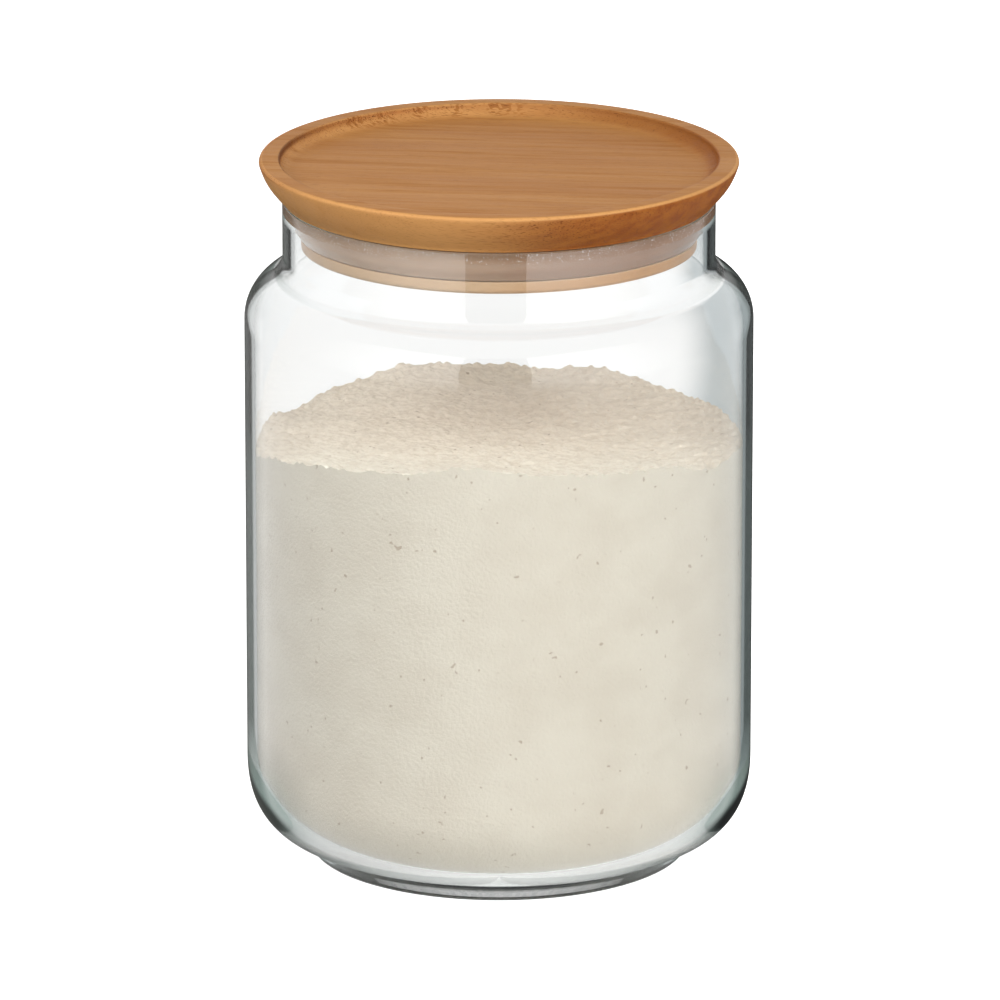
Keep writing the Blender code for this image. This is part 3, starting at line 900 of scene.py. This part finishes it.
BOX_GLOW = 3.0

# Lamps: azimuth from the camera's side to the right, elevation, distance, width, height, watts
LAMPS = {
    "softbox_left": (-46, 42, 0.9, 0.7, 0.5, 4.3),
    "softbox_right": (34, 40, 1.5, 1.1, 0.9, 12),
    "softbox_front": (15, 6, 1.5, 1.0, 0.6, 3.4),
    "softbox_back": (195, 6, 1.5, 1.2, 0.6, 8.0),
    "softbox_top": (180, 75, 1.5, 1.2, 0.9, 0.9),
}
LAMP_IN_REFLECTIONS = "softbox_top"


def plan_angle(tree, across, ahead):
    """Degrees to the right of straight ahead, seen from above."""
    return product(tree, math_node(tree, "ARCTAN2", across, ahead), math.degrees(1))


def studio_behind(tree, across, ahead):
    """The studio's colour through the glass: white, but grey on the right."""
    angle = plan_angle(tree, across, ahead)
    shade = product(tree, remap(tree, angle, *SHADE_START_SPAN), remap(tree, angle, *SHADE_END_SPAN))
    return mix_colour(tree, shade, WHITE, RIGHT_SHADE)


def white_floor():
    """A floor that glows where the camera or the glass sees it, and whose plain colour keeps the shadow."""
    material, tree, shader = new_material("studio_floor")
    tree.nodes.remove(shader)
    path = add_node(tree, "ShaderNodeLightPath").outputs
    place = add_node(tree, "ShaderNodeTexCoord").outputs["Object"]
    across, ahead, _ = split(tree, place)
    out = vector_math(tree, "LENGTH", place)
    seen = product(tree, path["Is Camera Ray"], FLOOR_GLOW)
    under = product(tree, path["Is Transmission Ray"], remap(tree, out, *UNDER_SPAN))
    glow = emission(tree, (*WHITE, 1), math_node(tree, "ADD", seen, under))
    cover = mix_colour(tree, remap(tree, across, *FLOOR_SIDE_SPAN), FLOOR_LEFT, FLOOR_RIGHT)
    matte = add_node(tree, "ShaderNodeBsdfDiffuse", {"Color": cover}).outputs[0]
    near = add_node(tree, "ShaderNodeAddShader", {0: glow, 1: matte}).outputs[0]
    far = emission(tree, studio_behind(tree, across, ahead), 1)
    far_share = product(tree, path["Is Transmission Ray"], remap(tree, out, *FLOOR_FAR_SPAN))
    surface = add_node(tree, "ShaderNodeMixShader", {0: far_share, 1: near, 2: far}).outputs[0]
    set_output(tree, {"Surface": surface})
    return material


def add_floor():
    """The studio floor, which reflections don't show."""
    bm = bmesh.new()
    bmesh.ops.create_grid(bm, x_segments=1, y_segments=1, size=FLOOR_SIZE / 2)
    mesh = bpy.data.meshes.new("studio_floor")
    bm.to_mesh(mesh)
    bm.free()
    mesh.materials.append(white_floor())
    floor = bpy.data.objects.new("studio_floor", mesh)
    floor.location = (0, 0, -FLOOR_DROP)
    floor.visible_glossy = False
    bpy.context.scene.collection.objects.link(floor)


def glowing_card(name, glow):
    """A card's light, which goes over to plain white at its outer side and its foot."""
    material, tree, shader = new_material(name)
    tree.nodes.remove(shader)
    across, _, height = split(tree, add_node(tree, "ShaderNodeTexCoord").outputs["Object"])
    beside = remap(tree, math_node(tree, "ABSOLUTE", across), *CARD_SIDE_SPAN)
    share = product(tree, beside, remap(tree, height, *CARD_FOOT_SPAN))
    strength = remap(tree, share, 0, 1, 1, glow, kind="LINEAR")
    set_output(tree, {"Surface": emission(tree, (*WHITE, 1), strength)})
    return material


def add_card(name, start, end, glow):
    """An upright card that only reflections show, from one place on the floor plan to another."""
    mesh = bpy.data.meshes.new(name)
    corners = [(*start, CARD_LOW), (*end, CARD_LOW), (*end, CARD_HIGH), (*start, CARD_HIGH)]
    mesh.from_pydata(corners, [], [(0, 1, 2, 3)])
    mesh.materials.append(glowing_card(name, glow))
    card = bpy.data.objects.new(name, mesh)
    card.visible_camera = False
    card.visible_diffuse = False
    card.visible_transmission = False
    card.visible_shadow = False
    bpy.context.scene.collection.objects.link(card)


def add_cards():
    """The bright fronts of two softboxes in reflections, and the dark gap between them."""
    gap_left = (CARD_LEFT, -CARD_FORWARD)
    gap_right = (CARD_RIGHT, -CARD_FORWARD)
    add_card("dark_gap", gap_left, gap_right, GAP_GLOW)
    add_card("bright_left", (-CARD_SIDE, 0), gap_left, BOX_GLOW)
    add_card("bright_right", gap_right, (CARD_SIDE, 0), BOX_GLOW)


def add_world():
    """White to the camera, the studio through the glass, and dark flanks low behind in reflections."""
    world = bpy.data.worlds.new("studio")
    bpy.context.scene.world = world
    world.use_nodes = True
    tree = world.node_tree
    tree.nodes.clear()
    path = add_node(tree, "ShaderNodeLightPath").outputs
    across, ahead, up = split(tree, add_node(tree, "ShaderNodeTexCoord").outputs["Generated"])
    angle = plan_angle(tree, across, ahead)
    off_middle = math_node(tree, "ABSOLUTE", angle)
    flank_start = remap(tree, off_middle, *FLANK_START_SPAN)
    flank_end = remap(tree, off_middle, *FLANK_END_SPAN)
    flank = product(tree, flank_start, flank_end, remap(tree, up, *FLANK_RISE_SPAN))
    flank_shade = mix_colour(tree, remap(tree, angle, *FLANK_SIDE_SPAN), FLANK_LEFT, FLANK_RIGHT)
    mirrored = mix_colour(tree, flank, WHITE, flank_shade)
    plain = mix_colour(tree, path["Is Camera Ray"], AMBIENT, WHITE)
    colour = mix_colour(tree, path["Is Glossy Ray"], plain, mirrored)
    colour = mix_colour(tree, path["Is Transmission Ray"], colour, studio_behind(tree, across, ahead))
    background = add_node(tree, "ShaderNodeBackground", {"Color": colour, "Strength": 1.0})
    output = add_node(tree, "ShaderNodeOutputWorld")
    tree.links.new(background.outputs[0], output.inputs["Surface"])


def add_softbox(name, azimuth, elevation, distance, width, height, power):
    """A rectangular lamp that faces the jar, and doesn't show through the glass."""
    turn, rise = math.radians(azimuth), math.radians(elevation)
    level = math.cos(rise)
    out = Vector((math.sin(turn) * level, -math.cos(turn) * level, math.sin(rise)))
    data = bpy.data.lights.new(name, "AREA")
    data.shape = "RECTANGLE"
    data.size = width
    data.size_y = height
    data.energy = power
    lamp = bpy.data.objects.new(name, data)
    lamp.location = Vector((0, 0, AIM_HEIGHT)) + out * distance
    lamp.rotation_mode = "QUATERNION"
    lamp.rotation_quaternion = out.to_track_quat("Z", "Y")
    lamp.visible_transmission = False
    lamp.visible_glossy = name == LAMP_IN_REFLECTIONS
    bpy.context.scene.collection.objects.link(lamp)


def add_lamps():
    """The five lamps."""
    for name, values in LAMPS.items():
        add_softbox(name, *values)


def add_camera():
    """The camera at the photograph's place, pitched down at the jar."""
    pitch = math.radians(CAMERA_PITCH)
    up = Vector((0, math.sin(pitch), math.cos(pitch)))
    back = Vector((0, -math.cos(pitch), math.sin(pitch)))
    data = bpy.data.cameras.new("photo_camera")
    data.lens = LENS_MM
    data.sensor_width = SENSOR_MM
    camera = bpy.data.objects.new("photo_camera", data)
    aim = Vector((AIM_RIGHT, 0, AIM_HEIGHT)) + up * AIM_UP
    camera.location = aim + back * CAMERA_DISTANCE
    camera.rotation_euler = (QUARTER - pitch, 0, 0)
    bpy.context.scene.collection.objects.link(camera)
    bpy.context.scene.camera = camera


add_glass()
add_lid()
add_seal()
add_flour()
add_floor()
add_cards()
add_world()
add_lamps()
add_camera()
bpy.context.scene.view_settings.view_transform = "Standard"
